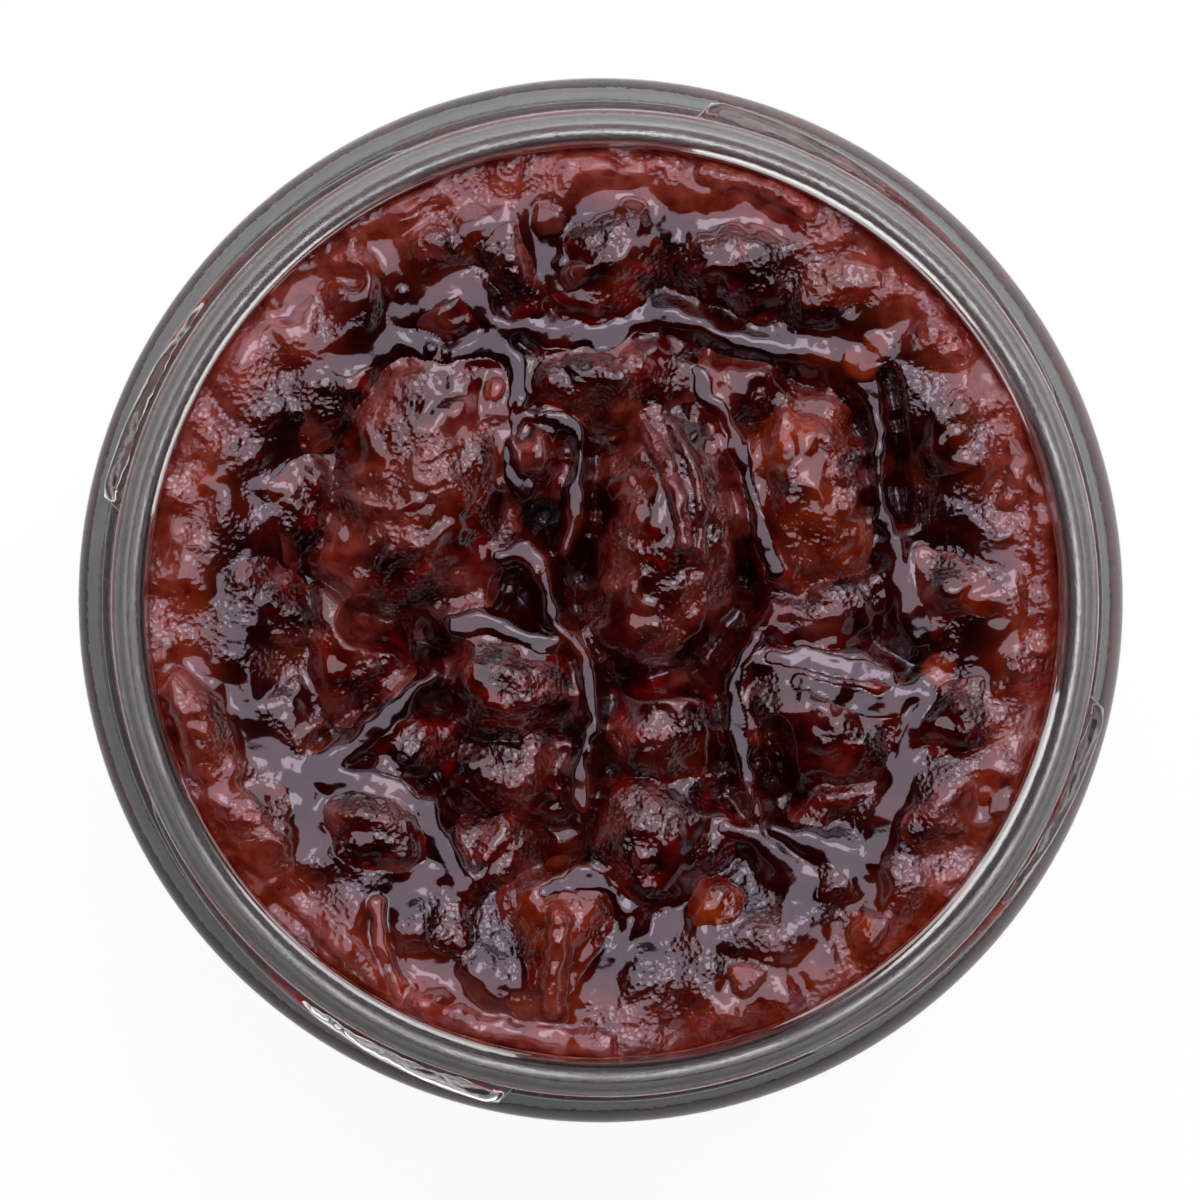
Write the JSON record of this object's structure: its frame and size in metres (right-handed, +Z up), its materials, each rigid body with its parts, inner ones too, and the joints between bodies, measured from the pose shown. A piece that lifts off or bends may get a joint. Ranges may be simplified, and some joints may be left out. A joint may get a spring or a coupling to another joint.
{
  "type": "chutney jar",
  "caption": "Round open glass jar with a lugged twist-off finish, filled nearly to the lip with dark chunky fruit chutney.",
  "frame": {"origin": "centre of the jar's footprint on the surface that it stands on", "axes": "+Z up along the jar's axis, +Y towards the row of fruit named back, +X towards the row named right"},
  "size_m": [0.0724, 0.0724, 0.08],
  "materials": {
    "glass": "clear, polished",
    "sauce": "wet, glossy",
    "fruit": "wet, glossy"
  },
  "bodies": {
    "root": {"back_1": "fruit", "back_10": "fruit", "back_11": "fruit", "back_12": "fruit", "back_2": "fruit", "back_3": "fruit", "back_4": "fruit", "back_5": "fruit", "back_6": "fruit", "back_7": "fruit", "back_8": "fruit", "back_9": "fruit", "front_1": "fruit", "front_10": "fruit", "front_11": "fruit", "front_12": "fruit", "front_13": "fruit", "front_14": "fruit", "front_2": "fruit", "front_3": "fruit", "front_4": "fruit", "front_5": "fruit", "front_6": "fruit", "front_7": "fruit", "front_8": "fruit", "front_9": "fruit", "jar": "glass", "left_1": "fruit", "left_10": "fruit", "left_2": "fruit", "left_3": "fruit", "left_4": "fruit", "left_5": "fruit", "left_6": "fruit", "left_7": "fruit", "left_8": "fruit", "left_9": "fruit", "middle_1": "fruit", "middle_2": "fruit", "middle_3": "fruit", "middle_4": "fruit", "middle_5": "fruit", "middle_6": "fruit", "middle_7": "fruit", "middle_8": "fruit", "plum_centre": "fruit", "plum_left": "fruit", "plum_lower_right": "fruit", "plum_right": "fruit", "right_1": "fruit", "right_2": "fruit", "right_3": "fruit", "right_4": "fruit", "right_5": "fruit", "right_6": "fruit", "right_7": "fruit", "right_8": "fruit", "right_9": "fruit", "sauce": "sauce"}
  },
  "joints": []
}
